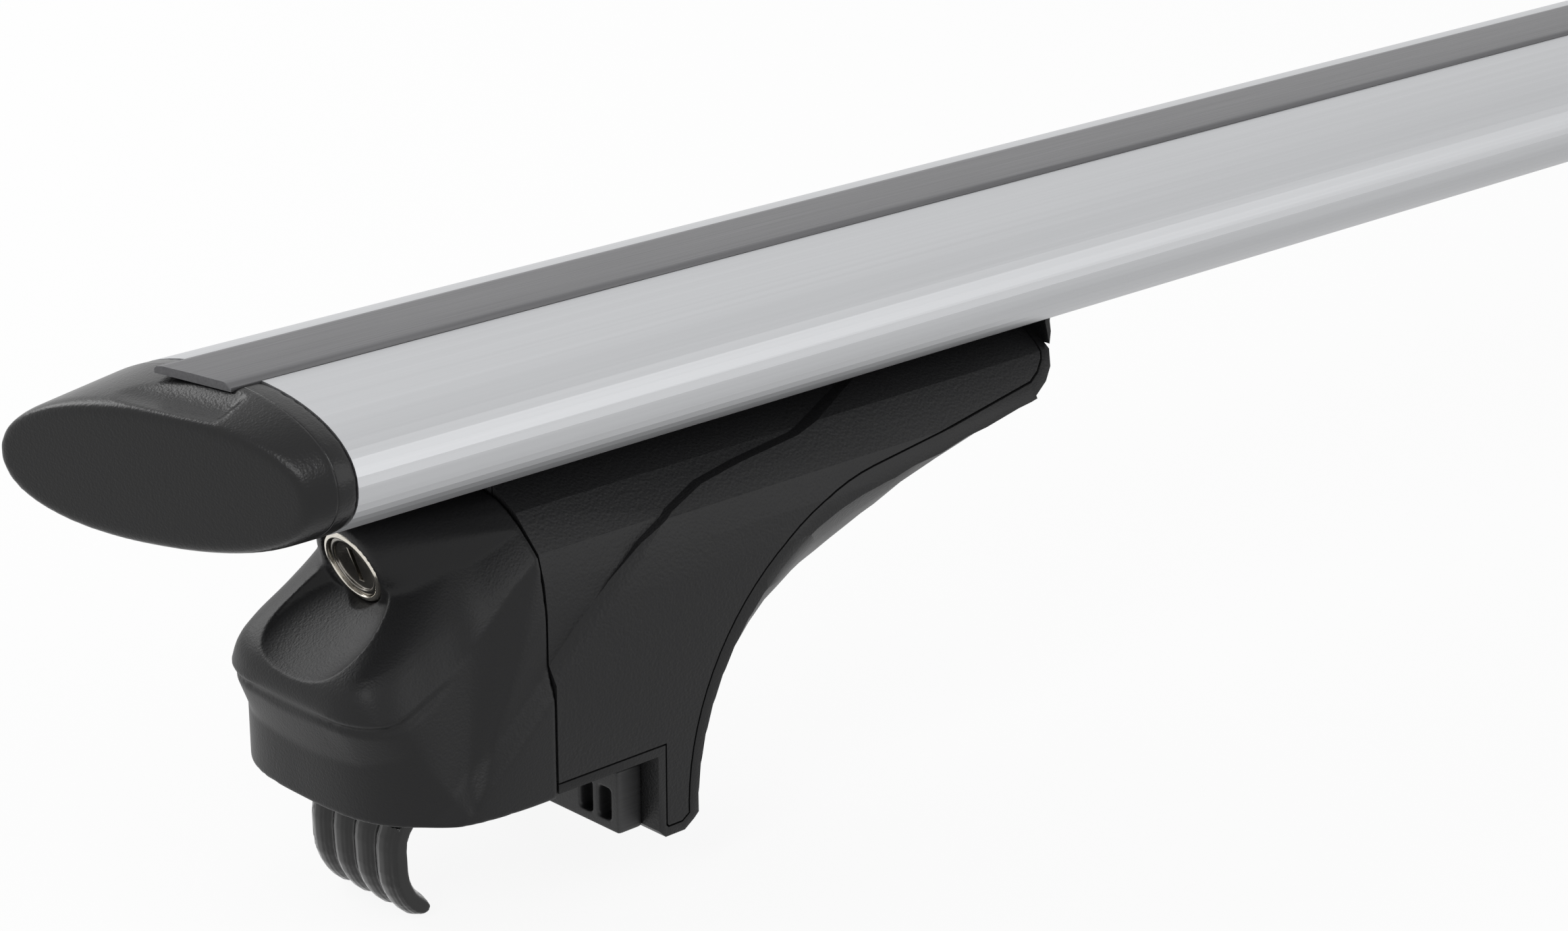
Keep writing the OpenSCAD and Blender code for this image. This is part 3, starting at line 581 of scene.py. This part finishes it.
def cut(piece, kind, tool):
    """Joins a tool to a piece, or takes it away. The tool is used up."""
    step = piece.modifiers.new(kind, "BOOLEAN")
    step.operation = kind
    step.solver = "MANIFOLD"
    step.object = tool
    graph = bpy.context.evaluated_depsgraph_get()
    piece.data = bpy.data.meshes.new_from_object(piece.evaluated_get(graph))
    piece.modifiers.clear()
    bpy.data.objects.remove(tool)
    return piece


def near_lock(point):
    """How much a point of the cover is smoothed: fully about the lock, not at all by the crease."""
    axis = Vector((math.cos(LOCK_TILT), 0, math.sin(LOCK_TILT)))
    off = point - LOCK_FACE
    away = (off - axis * off.dot(axis)).length
    return (eased((SMOOTH_R - away) / SMOOTH_FADE)
            * eased((SMOOTH_JOINT - point.x) / SMOOTH_JOINT_FADE))


def cover_shell():
    """The cover: a smooth roof over a creased wall, with the lock's housing grown into it."""
    shell = cut(cover_form(), "UNION", lock_housing())
    cut(shell, "DIFFERENCE", past_joint())
    cells(shell, SMOOTH_CELL, SMOOTH_PASSES, near_lock)
    hollow = cover_form()
    hollow.data.transform(Matrix.Translation(HOLLOW_MOVE) @ Matrix.Diagonal(HOLLOW_SHARES))
    wall = cut(dish("dish_wall", COVER_WALL), "DIFFERENCE", behind_face(COVER_WALL))
    cut(hollow, "DIFFERENCE", wall)
    cut(hollow, "DIFFERENCE", about_lock("boss", LOCK_BOSS_R, LOCK_BOSS_ENDS))
    cut(shell, "DIFFERENCE", hollow)
    room = cut(dish("dish", 0), "DIFFERENCE", behind_face(0))
    cut(shell, "DIFFERENCE", room)
    cut(shell, "DIFFERENCE", about_lock("bore", LOCK_BORE_R, LOCK_BORE_ENDS))
    cells(shell, SKIN_CELL, SKIN_PASSES)
    return thinned(shell, COVER_SHARE)


def covers():
    """The cover takes its place at the left end, and its mirror image at the right one."""
    shell = cover_shell()
    for end, sign in ENDS.items():
        place = (Matrix.Diagonal((sign * MM, MM, MM, 1))
                 @ Matrix.Translation((-FOOT_X, 0, AXIS_Z)))
        form = bmesh.new()
        form.from_mesh(shell.data)
        bmesh.ops.transform(form, verts=form.verts, matrix=place)
        if sign < 0:
            bmesh.ops.reverse_faces(form, faces=form.faces)
        dress(new_piece(f"cover_{end}_shell", form), f"cover_{end}")
    bpy.data.objects.remove(shell)


covers()
machined("bar", 0)
machined("cushion_strip", 0)
for end in ENDS:
    moulded(f"end_cap_{end}", 0.6, 10)
    machined(f"foot_body_{end}", 0.2)
    # At this low angle the accent line of the panels counts as an edge too
    machined(f"side_panel_front_{end}", 0.3, 14)
    machined(f"side_panel_rear_{end}", 0.3, 14)
    moulded(f"clamp_jaw_{end}", 0.3, 6)
    moulded(f"leg_pad_{end}", 0.5, 3)
    machined(f"rail_pad_{end}", 0.2)
    for name in ("lock_sleeve", "lock_barrel", "lock_cam", "clamp_bolt", "bolt_washer",
                 "clamp_nut", "channel_nuts", "foot_screws"):
        machined(f"{name}_{end}", 0.25)


# Floor, light and camera

FLOOR_HALF = 30.0
# Share of plain white in the floor as the camera and mirrored light see it
FLOOR_WHITE = 0.9
ROOM_LIGHT = 0.55
# Name, place, aim, size and power of each lamp
LAMPS = (
    ("key", (-2.1, -0.6, 1.3), (-0.6, 0, 0.09), 0.8, 8),
    ("rim", (-0.9, 1.5, 1.15), (-0.55, 0, 0.1), 1.2, 13),
    ("front", (0.4, -2.0, 0.8), (-0.4, 0, 0.1), 2.6, 18),
    ("top", (0.5, 0.9, 2.0), (-0.3, 0, 0.1), 1.6, 2),
)
CAMERA_AT = (-0.9913, -0.5727, 0.3502)
CAMERA_DOWN = 19.75
CAMERA_TURN = -43.23
CAMERA_LENS = 85.53


def seen_directly(tree):
    """1 for what the camera sees, straight on or through a mirror or a glass."""
    path = add(tree, "ShaderNodeLightPath", {}).outputs
    mirrored = add(tree, "ShaderNodeMath", {
        0: path["Is Glossy Ray"], 1: path["Is Transmission Ray"]}, operation="MAXIMUM")
    return add(tree, "ShaderNodeMath", {
        0: path["Is Camera Ray"], 1: mirrored.outputs[0]}, operation="MAXIMUM").outputs[0]


def placed(name, data, at):
    """A lamp or camera at a place."""
    made = bpy.data.objects.new(name, data)
    made.location = at
    bpy.context.scene.collection.objects.link(made)
    return made


def pale_floor():
    """A wide white floor that fades into the backdrop and keeps the object's soft shadow."""
    form = bmesh.new()
    corners = square(-FLOOR_HALF, FLOOR_HALF, -FLOOR_HALF, FLOOR_HALF, 0)
    form.faces.new([form.verts.new(p) for p in corners])
    floor = new_piece("floor", form)
    made, tree, _ = new_material("white paper floor")
    paper = add(tree, "ShaderNodeBsdfDiffuse", {"Color": linear("#f4f4f4")}).outputs[0]
    white = add(tree, "ShaderNodeEmission", {
        "Color": linear("#ffffff"), "Strength": 1.0}).outputs[0]
    share = add(tree, "ShaderNodeMath", {0: seen_directly(tree), 1: FLOOR_WHITE},
                operation="MULTIPLY").outputs[0]
    both = add(tree, "ShaderNodeMixShader", {0: share, 1: paper, 2: white})
    add(tree, "ShaderNodeOutputMaterial", {"Surface": both.outputs[0]})
    floor.data.materials.append(made)


def studio_light():
    """A white room, and four wide lamps with soft shadows."""
    world = bpy.data.worlds.new("studio")
    bpy.context.scene.world = world
    world.use_nodes = True
    tree = world.node_tree
    tree.nodes.clear()
    room, white = (add(tree, "ShaderNodeBackground", {
        "Color": linear("#ffffff"), "Strength": strength}).outputs[0]
        for strength in (ROOM_LIGHT, 1.0))
    both = add(tree, "ShaderNodeMixShader", {0: seen_directly(tree), 1: room, 2: white})
    add(tree, "ShaderNodeOutputWorld", {"Surface": both.outputs[0]})
    for name, at, aim, size, power in LAMPS:
        lamp = bpy.data.lights.new(name, "AREA")
        lamp.shape = "DISK"
        lamp.size = size
        lamp.energy = power
        to_aim = Vector(aim) - Vector(at)
        placed(name, lamp, at).rotation_euler = to_aim.to_track_quat("-Z", "Y").to_euler()


def camera():
    """The photograph's view, found from the vanishing points of the bar and the foot."""
    lens = bpy.data.cameras.new("camera")
    lens.lens = CAMERA_LENS
    lens.sensor_width = 36.0
    lens.clip_start = 0.01
    made = placed("camera", lens, CAMERA_AT)
    made.rotation_euler = (math.radians(90 - CAMERA_DOWN), 0, math.radians(CAMERA_TURN))
    bpy.context.scene.camera = made


pale_floor()
studio_light()
camera()
bpy.context.scene.view_settings.view_transform = "Standard"
